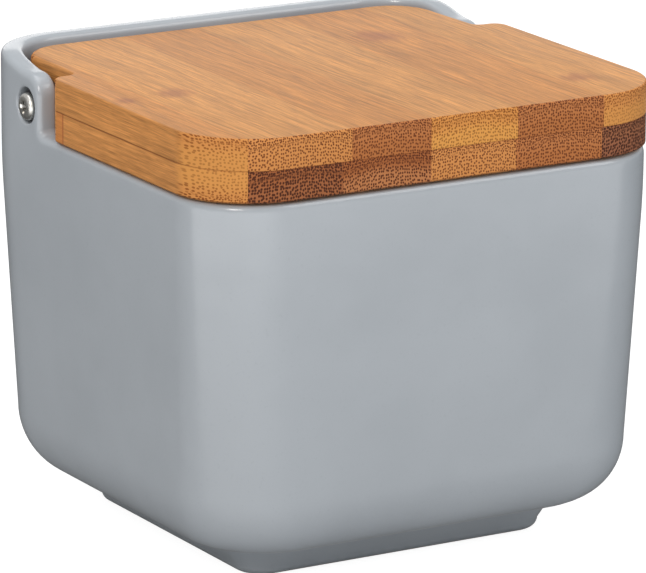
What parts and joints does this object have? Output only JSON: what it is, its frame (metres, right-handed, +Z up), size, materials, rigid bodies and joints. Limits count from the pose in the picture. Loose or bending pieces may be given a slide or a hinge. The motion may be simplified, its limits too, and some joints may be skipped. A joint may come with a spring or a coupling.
{
  "type": "salt box with hinged lid",
  "caption": "Small square glazed stoneware box with a raised back wall and ears, closed by a flat laminated bamboo lid that tips up on screws through the ears; holds salt.",
  "frame": {"origin": "on the surface that the box stands on, under the middle of the box", "axes": "+Z up, front of the box at -Y, hinge at +Y, +X to the right of someone facing the front"},
  "size_m": [0.106, 0.1013, 0.095],
  "materials": {
    "glazed_stoneware": "smooth satin grey glaze with a soft sheen, slightly paler along the rims",
    "bamboo_light": "light caramel bamboo strip, fine grain along its length, dotted end grain, oiled",
    "bamboo_dark": "browner caramel bamboo strip, fine grain along its length, dotted end grain, oiled",
    "sleeve_plastic": "dark grey moulded plastic sleeve",
    "screw_steel": "stainless pan head screw with a cross recess"
  },
  "bodies": {
    "box": {"ceramic_box": "glazed_stoneware"},
    "lid": {"bottom_strip_1": "bamboo_light", "bottom_strip_2": "bamboo_dark", "bottom_strip_3": "bamboo_light", "bottom_strip_4": "bamboo_light", "bottom_strip_5": "bamboo_light", "bottom_strip_6": "bamboo_dark", "top_strip_1": "bamboo_light", "top_strip_2": "bamboo_light", "top_strip_3": "bamboo_dark", "top_strip_4": "bamboo_light", "top_strip_5": "bamboo_dark", "top_strip_6": "bamboo_light", "hinge_sleeve_left": "sleeve_plastic", "hinge_sleeve_right": "sleeve_plastic", "hinge_screw_left": "screw_steel", "hinge_screw_right": "screw_steel"}
  },
  "joints": [
    {"name": "lid_hinge", "type": "hinge", "parent": "box", "child": "lid", "pos_m": [0, 0.0274, 0.0856], "axis": [-1, 0, 0], "range_deg": [0, 100]}
  ]
}
